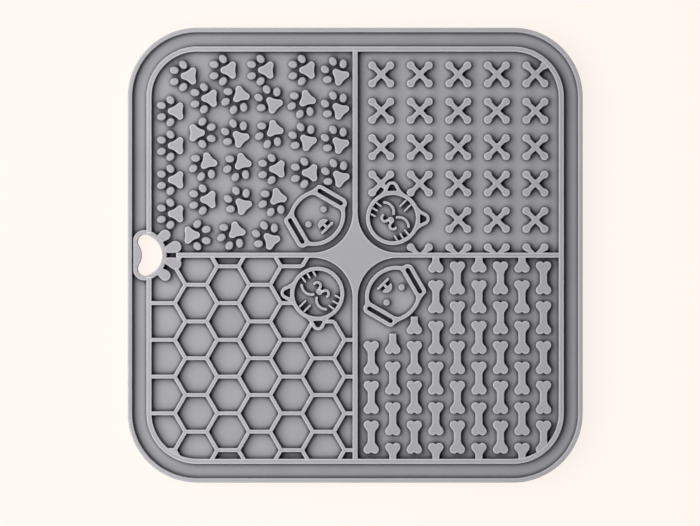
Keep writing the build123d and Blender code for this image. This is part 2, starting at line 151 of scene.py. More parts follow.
def stretch(outline, wanted):
    # the one unbroken stretch of a closed outline whose points pass the test
    passed = [wanted(point) for point in outline]
    first = next(n for n in range(len(outline)) if passed[n] and not passed[n - 1])
    return list(takewhile(wanted, outline[first:] + outline[:first]))


def withSteps(outline, longest):
    # long sides get points along them
    points = []
    for n, (x, y) in enumerate(outline):
        nextX, nextY = outline[(n + 1) % len(outline)]
        count = max(1, round(dist((x, y), (nextX, nextY)) / longest))
        points += [(x + (nextX - x) * k / count, y + (nextY - y) * k / count) for k in range(count)]
    return points


def softJoin(runs, softs, steps=6):
    # runs of an outline end to end: near each join the points give way to a small curve
    joins = [((run[-1][0] + ahead[0][0]) / 2, (run[-1][1] + ahead[0][1]) / 2)
             for run, ahead in zip(runs, runs[1:] + runs[:1])]
    kept = [[point for point in run
             if dist(point, joins[n - 1]) > softs[n - 1] and dist(point, joins[n]) > softs[n]]
            for n, run in enumerate(runs)]
    outline = []
    for n, run in enumerate(kept):
        start, corner, end = Vector(run[-1]), Vector(joins[n]), Vector(kept[(n + 1) % len(kept)][0])
        outline += run
        for k in range(1, steps):
            t = k / steps
            outline.append(tuple(start * (1 - t) ** 2 + corner * 2 * t * (1 - t) + end * t ** 2))
    return outline


# modelling steps shared by all the pieces

def deselectAll():
    if bpy.context.object is not None and bpy.context.object.mode != "OBJECT":
        bpy.ops.object.mode_set(mode="OBJECT")
    bpy.ops.object.select_all(action="DESELECT")


def takeUp(piece):
    deselectAll()
    piece.select_set(True)
    bpy.context.view_layer.objects.active = piece


def drawPlate(name, corners, level):
    # flat plate: a filled circle whose corners are dragged to the outline
    deselectAll()
    bpy.ops.mesh.primitive_circle_add(vertices=len(corners), radius=mm, fill_type="NGON", location=(0, 0, 0))
    plate = bpy.context.object
    plate.name = plate.data.name = name
    for vertex, corner in zip(plate.data.vertices, corners):
        vertex.co = (corner[0] * mm, corner[1] * mm, level * mm)
    return plate


def pickFaces(piece, wanted):
    takeUp(piece)
    bpy.ops.object.mode_set(mode="EDIT")
    bpy.ops.mesh.select_mode(type="FACE")
    bpy.ops.mesh.select_all(action="DESELECT")
    bpy.ops.object.mode_set(mode="OBJECT")
    for face in piece.data.polygons:
        face.select = wanted(face)
    bpy.ops.object.mode_set(mode="EDIT")


def pullUp(piece, height):
    # extrudes the flat faces of a plate into a slab with its faces outwards
    takeUp(piece)
    bpy.ops.object.mode_set(mode="EDIT")
    bpy.ops.mesh.select_mode(type="FACE")
    bpy.ops.mesh.select_all(action="SELECT")
    bpy.ops.mesh.extrude_region_move(TRANSFORM_OT_translate={"value": (0, 0, height * mm)})
    bpy.ops.mesh.select_all(action="SELECT")
    bpy.ops.mesh.normals_make_consistent(inside=False)
    bpy.ops.object.mode_set(mode="OBJECT")


def rollEdge(piece, radius, steps=rollSteps, under=False):
    # rolls the edge of the top, or of the underside, over by small insets that rise along a quarter circle
    way = -1 if under else 1
    edge = max(way * vertex.co.z for vertex in piece.data.vertices)
    pickFaces(piece, lambda face: (way * face.normal.z > flatNormal
                                   and way * face.center.z > edge - levelSlack * mm))
    for n in range(steps):
        here, there = radians(90 * n / steps), radians(90 * (n + 1) / steps)
        bpy.ops.mesh.inset(
            thickness=radius * mm * (cos(here) - cos(there)),
            depth=radius * mm * (sin(there) - sin(here)),
            use_boundary=True,
            use_even_offset=True,
        )
    bpy.ops.object.mode_set(mode="OBJECT")


def makeSlab(name, corners, level, height, roll=0.0, steps=rollSteps):
    slab = drawPlate(name, corners, level)
    pullUp(slab, height - roll)
    if roll:
        rollEdge(slab, roll, steps)
    return slab


def makeCutter(corners):
    return makeSlab("cutter", corners, floorLevel - ribHeight, 3 * ribHeight)


def combine(piece, tool, operation):
    takeUp(piece)
    joint = piece.modifiers.new("joint", "BOOLEAN")
    joint.operation = operation
    joint.solver = "EXACT"
    joint.object = tool
    bpy.ops.object.modifier_apply(modifier="joint")
    bpy.data.objects.remove(tool)
    bpy.ops.object.mode_set(mode="EDIT")
    bpy.ops.mesh.select_all(action="SELECT")
    bpy.ops.mesh.remove_doubles(threshold=mergeGap * mm)
    bpy.ops.mesh.dissolve_limited(angle_limit=radians(flatAngle))
    bpy.ops.object.mode_set(mode="OBJECT")


def placed(x, y, turn=0):
    return Matrix.Translation((x * mm, y * mm, 0)) @ Matrix.Rotation(radians(turn), 4, "Z")


def copyTo(master, places):
    # one copy at each place, each with its own mesh
    copies = []
    for place in places:
        copy = master.copy()
        copy.data = master.data.copy()
        copy.data.transform(place)
        bpy.context.collection.objects.link(copy)
        copies.append(copy)
    return copies


def joinAll(name, pieces):
    deselectAll()
    for piece in pieces:
        piece.select_set(True)
    bpy.context.view_layer.objects.active = pieces[0]
    bpy.ops.object.join()
    whole = bpy.context.object
    whole.name = whole.data.name = name
    return whole


def repeat(name, master, places):
    whole = joinAll(name, copyTo(master, places))
    bpy.data.objects.remove(master)
    return whole


def finishPiece(piece, material, *nodes, body="mat"):
    # smooth walls and rolled edges, flat tops, then the finish and what it rides on
    takeUp(piece)
    bpy.ops.object.shade_smooth_by_angle(angle=radians(smoothAngle))
    weigh = piece.modifiers.new("weigh", "WEIGHTED_NORMAL")
    weigh.keep_sharp = True
    bpy.ops.object.modifier_apply(modifier="weigh")
    piece.data.materials.clear()
    piece.data.materials.append(material)
    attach(piece, body)
    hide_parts(*nodes)
    print("made", piece.name, "with", len(piece.data.polygons), "faces")


# silicone finishes

siliconeSet = {
    "sheenRough": 0.6, "occlusionRays": 8,
    "cloudDetail": 3, "dustDetail": 2, "satinDetail": 4, "grainDetail": 2,
    "cloudStops": (0.3, 0.7), "dustStops": (0.66, 0.74), "edgeStops": (0.45, 0.95),
    "creviceStops": (0.24, 0.5, 0.9), "shelterStops": (0.35, 0.62, 0.95),
}


def makeSilicone(name, look):
    material = bpy.data.materials.new(name)
    material.use_nodes = True
    nodes, links = material.node_tree.nodes, material.node_tree.links
    shader = nodes["Principled BSDF"]
    shader.inputs["Sheen Weight"].default_value = look["sheen"]
    shader.inputs["Sheen Roughness"].default_value = siliconeSet["sheenRough"]
    place = nodes.new("ShaderNodeTexCoord")

    def grey(key):
        return (look[key],) * 3

    def noise(kind):
        texture = nodes.new("ShaderNodeTexNoise")
        texture.inputs["Scale"].default_value = look[kind + "Scale"]
        texture.inputs["Detail"].default_value = siliconeSet[kind + "Detail"]
        links.new(place.outputs["Object"], texture.inputs["Vector"])
        return texture.outputs["Fac"]

    def ramp(factor, kind, *colours):
        band = nodes.new("ShaderNodeValToRGB")
        while len(band.color_ramp.elements) < len(colours):
            band.color_ramp.elements.new(1.0)
        for element, position, colour in zip(band.color_ramp.elements, siliconeSet[kind + "Stops"], colours):
            element.position = position
            element.color = (*colour, 1)
        links.new(factor, band.inputs["Fac"])
        return band.outputs["Color"]

    # occlusion by nearby surfaces, which the steps below turn into painted shade and painted highlight
    def nearness(reach, inside=False):
        shade = nodes.new("ShaderNodeAmbientOcclusion")
        shade.samples = siliconeSet["occlusionRays"]
        shade.inside = inside
        shade.only_local = inside
        shade.inputs["Distance"].default_value = reach * mm
        return shade.outputs["AO"]

    def mixed(factor, below, above, how="MIX"):
        mix = nodes.new("ShaderNodeMix")
        mix.data_type = "RGBA"
        mix.blend_type = how
        for socket, value in (("Factor", factor), ("A", below), ("B", above)):
            if isinstance(value, bpy.types.NodeSocket):
                links.new(value, mix.inputs[socket])
            else:
                mix.inputs[socket].default_value = value if socket == "Factor" else (*value, 1)
        return mix.outputs["Result"]

    # slow clouding of the pigment, and a trace of pale dust that silicone always holds
    black = (0, 0, 0)
    white = (1, 1, 1)
    pigment = ramp(noise("cloud"), "cloud", look["dark"], look["pale"])
    dust = ramp(noise("dust"), "dust", black, grey("dust"))
    colour = mixed(dust, pigment, look["dustColour"])

    # painted highlight: tops are a little paler than the floor between them, and paler still close to their
    # edges
    height = nodes.new("ShaderNodeSeparateXYZ")
    links.new(place.outputs["Object"], height.inputs["Vector"])
    rise = nodes.new("ShaderNodeMapRange")
    rise.inputs["From Min"].default_value = (floorLevel + look["highlightFrom"] * ribHeight) * mm
    rise.inputs["From Max"].default_value = ribLevel * mm
    links.new(height.outputs["Z"], rise.inputs["Value"])
    paintedHighlight = ramp(nearness(look["edgeReach"], inside=True), "edge", grey("edgeHighlight"), grey("topHighlight"))
    colour = mixed(mixed(1.0, paintedHighlight, rise.outputs["Result"], "MULTIPLY"), colour, look["highlightColour"])

    # painted shade: the feet of the nubs are darker, and slots and narrow gaps nearly black and without shine
    crevice = ramp(nearness(look["footReach"]), "crevice", grey("slotShade"), grey("footShade"), white)
    colour = mixed(1.0, colour, crevice, "MULTIPLY")
    shine = mixed(1.0, grey("shine"), crevice, "MULTIPLY")
    links.new(shine, shader.inputs["Specular IOR Level"])

    # painted shade: wider hollows are a little darker too
    shelter = ramp(nearness(look["hollowReach"]), "shelter", grey("gapShade"), grey("hollow"), white)
    links.new(mixed(1.0, colour, shelter, "MULTIPLY"), shader.inputs["Base Color"])

    # satin sheen that varies a little from place to place
    sheen = nodes.new("ShaderNodeMapRange")
    sheen.inputs["To Min"].default_value = look["smooth"]
    sheen.inputs["To Max"].default_value = look["rough"]
    links.new(noise("satin"), sheen.inputs["Value"])
    links.new(sheen.outputs["Result"], shader.inputs["Roughness"])

    # fine grain that the mould leaves
    bump = nodes.new("ShaderNodeBump")
    bump.inputs["Strength"].default_value = look["grain"]
    bump.inputs["Distance"].default_value = look["grainDepth"] * mm
    links.new(noise("grain"), bump.inputs["Height"])
    links.new(bump.outputs["Normal"], shader.inputs["Normal"])
    return material


# in each look the top colour with its top and edge shares paints highlight, and the foot, slot, gap and
# hollow darkenings paint shade
matteLook = {
    "dark": (0.345, 0.343, 0.368), "pale": (0.375, 0.373, 0.398), "cloudScale": 55.0,
    "highlightColour": (0.82, 0.815, 0.845), "topHighlight": 0.09, "edgeHighlight": 1.0, "highlightFrom": 0.75, "edgeReach": 0.9,
    "dust": 0.10, "dustColour": (0.62, 0.61, 0.60), "dustScale": 1500.0,
    "smooth": 0.50, "rough": 0.64, "satinScale": 260.0,
    "grain": 0.25, "grainDepth": 0.05, "grainScale": 3200.0, "shine": 0.32, "sheen": 0.05,
    "footReach": 2.1, "footShade": 0.36, "slotShade": 0.04, "hollowReach": 5.0, "hollow": 0.87, "gapShade": 0.48,
}
polishedLook = {
    "dark": (0.345, 0.343, 0.368), "pale": (0.375, 0.373, 0.398), "cloudScale": 70.0,
    "highlightColour": (0.60, 0.595, 0.625), "topHighlight": 0.0, "edgeHighlight": 0.0, "highlightFrom": 0.75, "edgeReach": 0.9,
    "dust": 0.05, "dustColour": (0.60, 0.59, 0.58), "dustScale": 1700.0,
    "smooth": 0.26, "rough": 0.38, "satinScale": 300.0,
    "grain": 0.08, "grainDepth": 0.03, "grainScale": 3600.0, "shine": 0.45, "sheen": 0.02,
    "footReach": 1.6, "footShade": 0.8, "slotShade": 0.3, "hollowReach": 5.0, "hollow": 0.95, "gapShade": 0.8,
}
matteSilicone = makeSilicone("matteSilicone", matteLook)
polishedSilicone = makeSilicone("polishedSilicone", polishedLook)
print("silicone mixed")


# sheet, rim and inner frame

matSet = {
    "side": 200.0, "corner": 30.5, "rimWidth": 2.0, "frameSide": 183.6, "frameCorner": 22.3,
    "frameWidth": 2.3, "cornerSteps": 24, "sheetRoll": 0.6, "rimRoll": 0.45, "ribRoll": 0.3,
}

# hanging hole: two lobes joined by a bulging front and a dented back, measured from the line through them
holeSet = {
    "x": -92.5, "lobeRadius": 3.2, "lobeSpread": 5.9, "frontReach": 7.6, "dentReach": 1.5, "collarWidth": 2.1,
    "collarLeft": -97.6, "frameCut": 9.6, "roll": 0.45, "steps": 12,
    "toes": (((0.71, 0.76, 0.195), (0.93, 0.92, 0.25)), ((1.05, 0.27, 0.175), (1.39, 0.38, 0.28))),
}


def kidney(grow, dented):
    reach, spread, lobe = holeSet["frontReach"], holeSet["lobeSpread"], holeSet["lobeRadius"]
    dent, steps = holeSet["dentReach"], holeSet["steps"]
    frontRadius = (reach**2 + spread**2 - lobe**2) / (2 * (reach - lobe))
    frontX = reach - frontRadius
    frontTurn = degrees(atan2(spread, -frontX))
    backTurn = 180.0
    back = []
    if dented:
        dentRadius = (spread**2 + dent**2 - lobe**2) / (2 * (lobe - dent))
        dentX = -dent - dentRadius
        dentTurn = degrees(atan2(spread, -dentX))
        backTurn += dentTurn
        back = arc((dentX, 0), dentRadius - grow, dentTurn, -dentTurn, steps)[1:-1]
    outline = (arc((frontX, 0), frontRadius + grow, -frontTurn, frontTurn, steps)[:-1]
               + arc((0, spread), lobe + grow, frontTurn, backTurn, steps)
               + back
               + arc((0, -spread), lobe + grow, -backTurn, -frontTurn, steps)[:-1])
    return [(holeSet["x"] + x, y) for x, y in outline]


def makeRing(name, corners, width, height, roll):
    ring = drawPlate(name, corners, floorLevel)
    bpy.ops.object.mode_set(mode="EDIT")
    bpy.ops.mesh.select_mode(type="FACE")
    bpy.ops.mesh.select_all(action="SELECT")
    bpy.ops.mesh.inset(thickness=width * mm, depth=0)
    bpy.ops.mesh.delete(type="FACE")
    bpy.ops.object.mode_set(mode="OBJECT")
    pullUp(ring, height - roll)
    rollEdge(ring, roll)
    return ring


outerCorners = roundedSquare(matSet["side"], matSet["corner"], matSet["cornerSteps"])
baseSheet = makeSlab("baseSheet", outerCorners, underLevel + matSet["sheetRoll"],
                     floorLevel - underLevel - matSet["sheetRoll"])
combine(baseSheet, makeCutter(kidney(0, True)), "DIFFERENCE")
rollEdge(baseSheet, matSet["sheetRoll"], under=True)
finishPiece(baseSheet, matteSilicone, "base_sheet")

outerRim = makeRing("outerRim", outerCorners, matSet["rimWidth"], ribHeight, matSet["rimRoll"])
finishPiece(outerRim, matteSilicone, "outer_rim")

frameCorners = roundedSquare(matSet["frameSide"], matSet["frameCorner"], matSet["cornerSteps"])
innerFrame = makeRing("innerFrame", frameCorners, matSet["frameWidth"], ribHeight, matSet["ribRoll"])
cutHalf, farLeft = holeSet["frameCut"], -matSet["side"]
frameGap = [(farLeft, -cutHalf), (0, -cutHalf), (0, cutHalf), (farLeft, cutHalf)]
combine(innerFrame, makeCutter(frameGap), "DIFFERENCE")
finishPiece(innerFrame, matteSilicone, "inner_frame")


# collar and toes of the hanging hole

collarLeft = holeSet["collarLeft"]
collarCorners = [(max(x, collarLeft), y) for x, y in kidney(holeSet["collarWidth"], False)]
hangingCollar = makeSlab("hangingCollar", collarCorners, floorLevel, ribHeight - seamStep - holeSet["roll"])
combine(hangingCollar, makeCutter(kidney(0, True)), "DIFFERENCE")
rollEdge(hangingCollar, holeSet["roll"])
finishPiece(hangingCollar, matteSilicone, "hanging_collar")

collarReach = holeSet["frontReach"] + holeSet["collarWidth"]
toes = []
for base, tip in holeSet["toes"]:
    for side in (1, -1):
        spots = [(holeSet["x"] + collarReach * along, side * collarReach * across)
                 for along, across, size in (base, tip)]
        corners = capsule(spots[0], spots[1], collarReach * base[2], collarReach * tip[2], holeSet["steps"])
        toes.append(makeSlab("toe", corners, floorLevel, ribHeight - 2 * seamStep, holeSet["roll"]))
finishPiece(joinAll("hangingToes", toes), matteSilicone, "hanging_toes")


# dividers that widen into a star plate

dividerSet = {"width": 2.3, "reach": 90.6, "leftReach": 78.73, "starRadius": 17.6, "roll": 0.3, "steps": 20}


def dividerCorners():
    half, reach, left = dividerSet["width"] / 2, dividerSet["reach"], dividerSet["leftReach"]
    star = dividerSet["starRadius"]
    corners = [(half, half), (half, reach), (-half, reach), (-half, half), (-left, half), (-left, -half),
               (-half, -half), (-half, -reach), (half, -reach), (half, -half), (reach, -half), (reach, half)]
    return roundCorners(corners, [star, 0, 0] * 4, dividerSet["steps"])


dividerCross = makeSlab("dividerCross", dividerCorners(), floorLevel, ribHeight - seamStep / 2,
                        dividerSet["roll"])
finishPiece(dividerCross, matteSilicone, "divider_cross")


# paw prints of the upper left quadrant

fieldHalf = matSet["frameSide"] / 2 - matSet["frameWidth"]
quadrantSide = fieldHalf - dividerSet["width"] / 2

pawSet = {
    "length": 12.3, "padTip": -0.30, "padBack": -4.2, "padSpread": 2.35, "lobe": 1.5, "hollow": 6.2,
    "toeLength": 4.25, "toeWidth": 3.45, "toeSeats": ((0.321, 0.203, 12), (0.0, 0.398, 50)),
    "padRoll": 0.3, "toeRoll": 0.75, "toeCorners": 16, "lobeSteps": 6, "hollowSteps": 3,
    # across and down the quadrant as shares of its side, then the heading
    "places": (
        (0.158, 0.121, 180), (0.356, 0.092, 180), (0.543, 0.092, 180), (0.748, 0.092, 180),
        (0.915, 0.100, 135),
        (0.094, 0.296, 180), (0.261, 0.232, 180), (0.420, 0.238, 225), (0.585, 0.240, 135),
        (0.750, 0.259, 225), (0.915, 0.270, 135),
        (0.094, 0.468, 180), (0.253, 0.404, 0), (0.418, 0.409, 135), (0.588, 0.409, 225),
        (0.754, 0.427, 135), (0.915, 0.440, 135),
        (0.094, 0.638, 180), (0.259, 0.570, 225), (0.429, 0.573, 225), (0.598, 0.584, 180),
        (0.761, 0.603, 180), (0.917, 0.607, 135),
        (0.094, 0.807, 180), (0.255, 0.736, 180), (0.432, 0.744, 135), (0.605, 0.747, 225),
        (0.228, 0.913, 0), (0.399, 0.914, 225), (0.572, 0.917, 135),
    ),
}
pawPlaces = [placed(across * quadrantSide - fieldHalf, fieldHalf - down * quadrantSide, heading)
             for across, down, heading in pawSet["places"]]


def makePad():
    # three lobes, joined by hollow sides that touch them
    lobe, hollow = pawSet["lobe"], pawSet["hollow"]
    back, spread = pawSet["padBack"], pawSet["padSpread"]
    lobes = [Vector((pawSet["padTip"], 0)), Vector((back, spread)), Vector((back, -spread))]
    hollows = []
    for here, ahead in zip(lobes, lobes[1:] + lobes[:1]):
        half = (ahead - here) / 2
        outward = Vector((half.y, -half.x)).normalized()
        hollows.append(here + half + outward * sqrt((lobe + hollow)**2 - half.length_squared))
    outline = []
    for n, centre in enumerate(lobes):
        first, last = (degrees(atan2(*(side - centre).yx)) for side in (hollows[n - 1], hollows[n]))
        outline += arc(centre, lobe, first, first + (last - first) % 360, pawSet["lobeSteps"])
        ahead = lobes[(n + 1) % len(lobes)] - hollows[n]
        start, end = last + 180, degrees(atan2(*ahead.yx))
        sweep = (end - start + 180) % 360 - 180
        outline += arc(hollows[n], hollow, start, start + sweep, pawSet["hollowSteps"])[1:-1]
    return makeSlab("pad", outline, floorLevel, ribHeight - 2 * seamStep, pawSet["padRoll"])


def makePawToes():
    made = []
    for forward, across, turn in pawSet["toeSeats"]:
        for side in (1, -1):
            steps = pawSet["toeCorners"]
            outline = [(x * pawSet["toeLength"] / 2, y * pawSet["toeWidth"] / 2)
                       for x, y in circle((0, 0), 1, steps)]
            toe = makeSlab("toe", outline, floorLevel, ribHeight - 2 * seamStep, pawSet["toeRoll"])
            seat = placed(forward * pawSet["length"], side * across * pawSet["length"], side * turn)
            toe.data.transform(seat)
            made.append(toe)
    return joinAll("toes", made)


finishPiece(repeat("pawPads", makePad(), pawPlaces), matteSilicone, "paw_pads")
finishPiece(repeat("pawToes", makePawToes(), pawPlaces), matteSilicone, "paw_toes")


# quadrants reach into the ribs around them, so that nubs run into the ribs without a gap

keepSet = {"intoFrame": 1.1, "steps": 12}


def makeKeeper(sideX, sideY):
    reach = fieldHalf + keepSet["intoFrame"]
    corner = matSet["frameCorner"] - matSet["frameWidth"] + keepSet["intoFrame"]
    square = [(0, 0), (reach, 0), (reach, reach), (0, reach)]
    outline = roundCorners(square, [0, 0, corner, 0], keepSet["steps"])
    return makeCutter([(sideX * x, sideY * y) for x, y in outline])


# animal heads, with the crown along +Y before they are turned into place

headSet = {"offset": 16.6, "drop": 0.3, "line": 1.8, "roll": 0.35, "steps": 40, "fine": 0.4}
dogSet = {
    "radius": 11.8, "halfWidth": 13.2, "crownShift": 0.3, "earOut": 10.55, "earUp": 2.55, "earTilt": 15.0,
    "slotLength": 12.6, "slotWidth": 1.8, "outerSoft": (2.6, 0.8), "innerSoft": (1.9, 1.5), "eyeRadius": 1.5,
    "eyeSpread": 4.7, "eyeUp": 0.8, "eyeRoll": 0.5, "noseHalf": 2.7, "noseHeight": 2.5, "noseBase": 4.0,
    "stemWidth": 1.3, "mouthLength": 7.2, "mouthWidth": 1.3, "mouthDrop": 6.1, "detailRoll": 0.3,
    "earSteps": 12, "eyeCorners": 24, "eyeRollSteps": 4, "noseSteps": 16, "barSteps": 6,
    "detailRollSteps": 2,
}
catSet = {
    "radius": 11.9, "earAngle": 46.5, "earApex": 19.65, "earHalf": 10.14, "earRound": 2.9, "earSoft": 1.9,
    "holeBase": 12.0, "holeHeight": 4.2, "holeHalf": 2.2, "holeRound": (0.35, 1.2), "stroke": 1.25,
    "whisker": 0.9, "detailRoll": 0.3, "trim": 0.95,
    "eye": ((0.09, 0.13), (0.35, 0.285), (0.63, 0.19)),
    "mouth": ((0.336, -0.18), (0.20, -0.328), (0.085, -0.20)),
    "nose": (-0.10, 0.13, 0.11),
    "brow": ((0.12, 0.50), (0.12, 0.80)),
    "whiskers": (((0.88, -0.03), (0.63, 0.0)), ((0.85, -0.28), (0.61, -0.215)),
                 ((0.74, -0.48), (0.52, -0.42))),
    "earSteps": 10, "holeSteps": 6, "noseCorners": 20, "strokeSteps": 8, "whiskerSteps": 6,
    "detailRollSteps": 2,
}
offset = headSet["offset"]
upper, lower = offset - headSet["drop"], -offset - headSet["drop"]
dogPlaces = {"UpperLeft": placed(-offset, upper, 45), "LowerRight": placed(offset, lower, -135)}
catPlaces = {"UpperRight": placed(offset, upper, -45), "LowerLeft": placed(-offset, lower, 135)}


def turned(points, angle):
    c, s = cos(radians(angle)), sin(radians(angle))
    return [(x * c - y * s, x * s + y * c) for x, y in points]


def earCapsule(side, grow):
    half = (dogSet["slotLength"] - dogSet["slotWidth"]) / 2
    radius = dogSet["slotWidth"] / 2 + grow
    tilt = radians(90 + side * dogSet["earTilt"])
    middle = Vector((side * dogSet["earOut"], dogSet["earUp"]))
    along = Vector((cos(tilt), sin(tilt))) * half
    return capsule(tuple(middle - along), tuple(middle + along), radius, radius, dogSet["earSteps"])


def headEdge(oval, ears, outside, softs):
    # closed edge of a head: an oval with the ears' outer stretches added, or their inner stretches cut off
    halfWidth, halfHeight, shift = oval

    def turnOf(point):
        return degrees(atan2((point[1] - shift) / halfHeight, point[0] / halfWidth))

    def isWanted(point):
        return (hypot(point[0] / halfWidth, (point[1] - shift) / halfHeight) > 1) == outside

    def along(start, end):
        first = turnOf(start)
        sweep = (turnOf(end) - first) % 360
        return [(halfWidth * x, shift + halfHeight * y)
                for x, y in arc((0, 0), 1, first, first + sweep, headSet["steps"])]

    right, left = (stretch(withSteps(ear, headSet["fine"]), isWanted) for ear in ears)
    if not outside:
        right, left = right[::-1], left[::-1]
    crownSoft, chinSoft = softs
    return softJoin([along(right[-1], left[0]), left, along(left[-1], right[0]), right],
                    (crownSoft, chinSoft, chinSoft, crownSoft))


def makeDogHead():
    line = headSet["line"]
    ears = [earCapsule(side, line) for side in (1, -1)]
    outer = (dogSet["halfWidth"], dogSet["radius"], dogSet["crownShift"])
    inner = (dogSet["halfWidth"] - line, dogSet["radius"] - line, dogSet["crownShift"])
    silhouette = headEdge(outer, ears, True, dogSet["outerSoft"])
    head = makeSlab("head", silhouette, floorLevel, ribHeight - seamStep - headSet["roll"])
    combine(head, makeCutter(headEdge(inner, ears, False, dogSet["innerSoft"])), "DIFFERENCE")
    for side in (1, -1):
        combine(head, makeCutter(earCapsule(side, 0)), "DIFFERENCE")
    rollEdge(head, headSet["roll"])
    return head


def makeDogFace():
    roll, steps = dogSet["detailRoll"], dogSet["barSteps"]
    eyes = []
    for side in (1, -1):
        middle = (side * dogSet["eyeSpread"], dogSet["eyeUp"])
        outline = circle(middle, dogSet["eyeRadius"], dogSet["eyeCorners"])
        eyes.append(makeSlab("eye", outline, floorLevel, detailHeight,
                             dogSet["eyeRoll"], dogSet["eyeRollSteps"]))
    base, drop = -dogSet["noseBase"], -dogSet["mouthDrop"]
    dome = [(dogSet["noseHalf"] * x, base + dogSet["noseHeight"] * y)
            for x, y in arc((0, 0), 1, 0, 180, dogSet["noseSteps"])]
    muzzle = makeSlab("muzzle", dome, floorLevel, detailHeight - roll)
    stemHalf, mouthHalf = dogSet["stemWidth"] / 2, dogSet["mouthWidth"] / 2
    stem = capsule((0, base), (0, drop), stemHalf, stemHalf, steps)
    combine(muzzle, makeSlab("stem", stem, floorLevel, detailHeight - roll), "UNION")
    reach = (dogSet["mouthLength"] - dogSet["mouthWidth"]) / 2
    mouth = capsule((-reach, drop), (reach, drop), mouthHalf, mouthHalf, steps)
    combine(muzzle, makeSlab("mouth", mouth, floorLevel, detailHeight - roll), "UNION")
    rollEdge(muzzle, roll, dogSet["detailRollSteps"])
    return joinAll("face", [muzzle, *eyes])


def catEar(side):
    apex, half = catSet["earApex"], catSet["earHalf"]
    corners = [(half, 0), (0, apex), (-half, 0)]
    outline = roundCorners(corners, [0, catSet["earRound"], 0], catSet["earSteps"])
    return turned(outline, side * -catSet["earAngle"])


def catEarHole(side):
    base, half = catSet["holeBase"], catSet["holeHalf"]
    baseRound, tipRound = catSet["holeRound"]
    corners = [(half, base), (0, base + catSet["holeHeight"]), (-half, base)]
    outline = roundCorners(corners, [baseRound, tipRound, baseRound], catSet["holeSteps"])
    return turned(outline, side * -catSet["earAngle"])


def catSilhouette():
    ears = [catEar(side) for side in (1, -1)]
    return headEdge((catSet["radius"], catSet["radius"], 0), ears, True, (catSet["earSoft"],) * 2)


def makeCatHead():
    head = makeSlab("head", catSilhouette(), floorLevel, ribHeight - seamStep - headSet["roll"])
    window = circle((0, 0), catSet["radius"] - headSet["line"], 2 * headSet["steps"])
    combine(head, makeCutter(window), "DIFFERENCE")
    for side in (1, -1):
        combine(head, makeCutter(catEarHole(side)), "DIFFERENCE")
    rollEdge(head, headSet["roll"])
    return head


def makeCatFace():
    size, strokeSteps = catSet["radius"], catSet["strokeSteps"]
    roll, rollCount = catSet["detailRoll"], catSet["detailRollSteps"]

    def spots(shares, side):
        return [(side * size * across, size * up) for across, up in shares]

    drop, half, tall = (size * share for share in catSet["nose"])
    outlines = [[(half * x, drop + tall * y) for x, y in circle((0, 0), 1, catSet["noseCorners"])]]
    whiskerHalf = catSet["whisker"] / 2
    for side in (1, -1):
        outlines.append(bentBar(*spots(catSet["eye"], side), catSet["stroke"], strokeSteps))
        outlines.append(bentBar(*spots(catSet["mouth"], side), catSet["stroke"], strokeSteps))
        for bar in (catSet["brow"], *catSet["whiskers"]):
            outlines.append(capsule(*spots(bar, side), whiskerHalf, whiskerHalf, catSet["whiskerSteps"]))
    bars = [makeSlab("bar", outline, floorLevel, detailHeight, roll, rollCount) for outline in outlines]
    return joinAll("face", bars)


def makeCatTrim():
    # head outline a little smaller than the head, to trim what runs into it
    return makeCutter([(catSet["trim"] * x, catSet["trim"] * y) for x, y in catSilhouette()])


dogNodes = {"UpperLeft": "upper_left", "LowerRight": "lower_right"}
catNodes = {"UpperRight": "upper_right", "LowerLeft": "lower_left"}
for kind, places, nodes, makeHead, makeFace in (
    ("dog", dogPlaces, dogNodes, makeDogHead, makeDogFace),
    ("cat", catPlaces, catNodes, makeCatHead, makeCatFace),
):
    head, face = makeHead(), makeFace()
    for corner, place in places.items():
        newHead, newFace = copyTo(head, [place])[0], copyTo(face, [place])[0]
        newHead.name = newHead.data.name = kind + "Head" + corner
        newFace.name = newFace.data.name = kind + "Face" + corner
        finishPiece(newHead, matteSilicone, kind + "_head_" + nodes[corner])
        finishPiece(newFace, matteSilicone, kind + "_face_" + nodes[corner])
    bpy.data.objects.remove(head)
    bpy.data.objects.remove(face)


# ball-ended crosses of the upper right quadrant

crossSet = {
    "columns": 5, "rows": 6, "pitchX": 16.95, "pitchY": 16.0, "insetX": 10.2, "insetY": 10.0, "span": 11.6,
    "arm": 2.1, "ball": 1.8, "neckRound": 3.0, "crotchRound": 0.5, "roll": 0.4,
    "crotchSteps": 3, "neckSteps": 3, "ballSteps": 10, "underCat": {(0, 4), (0, 5), (1, 4)},
}


def makeCross():
    # each arm flares into its ball through a neck that touches both
    half, ball, neck = crossSet["arm"] / 2, crossSet["ball"], crossSet["neckRound"]
    seat = sqrt(2) * (crossSet["span"] / 2 - ball)
    drop = sqrt((ball + neck)**2 - (half + neck)**2)
    lean = degrees(atan2(half + neck, drop))
    neckSteps = crossSet["neckSteps"]
    crotch = roundCorners([(half, -seat), (half, -half), (seat, -half)],
                          [0, crossSet["crotchRound"], 0], crossSet["crotchSteps"])[1:-1]
    arm = (arc((seat - drop, -half - neck), neck, 90, lean, neckSteps)
           + arc((seat, 0), ball, lean - 180, 180 - lean, crossSet["ballSteps"])[1:-1]
           + arc((seat - drop, half + neck), neck, -lean, -90, neckSteps))
    corners = []
    for heading in (45, 135, 225, 315):
        corners += turned(crotch + arm, heading)
    return makeSlab("cross", corners, floorLevel, ribHeight - 2 * seamStep, crossSet["roll"])


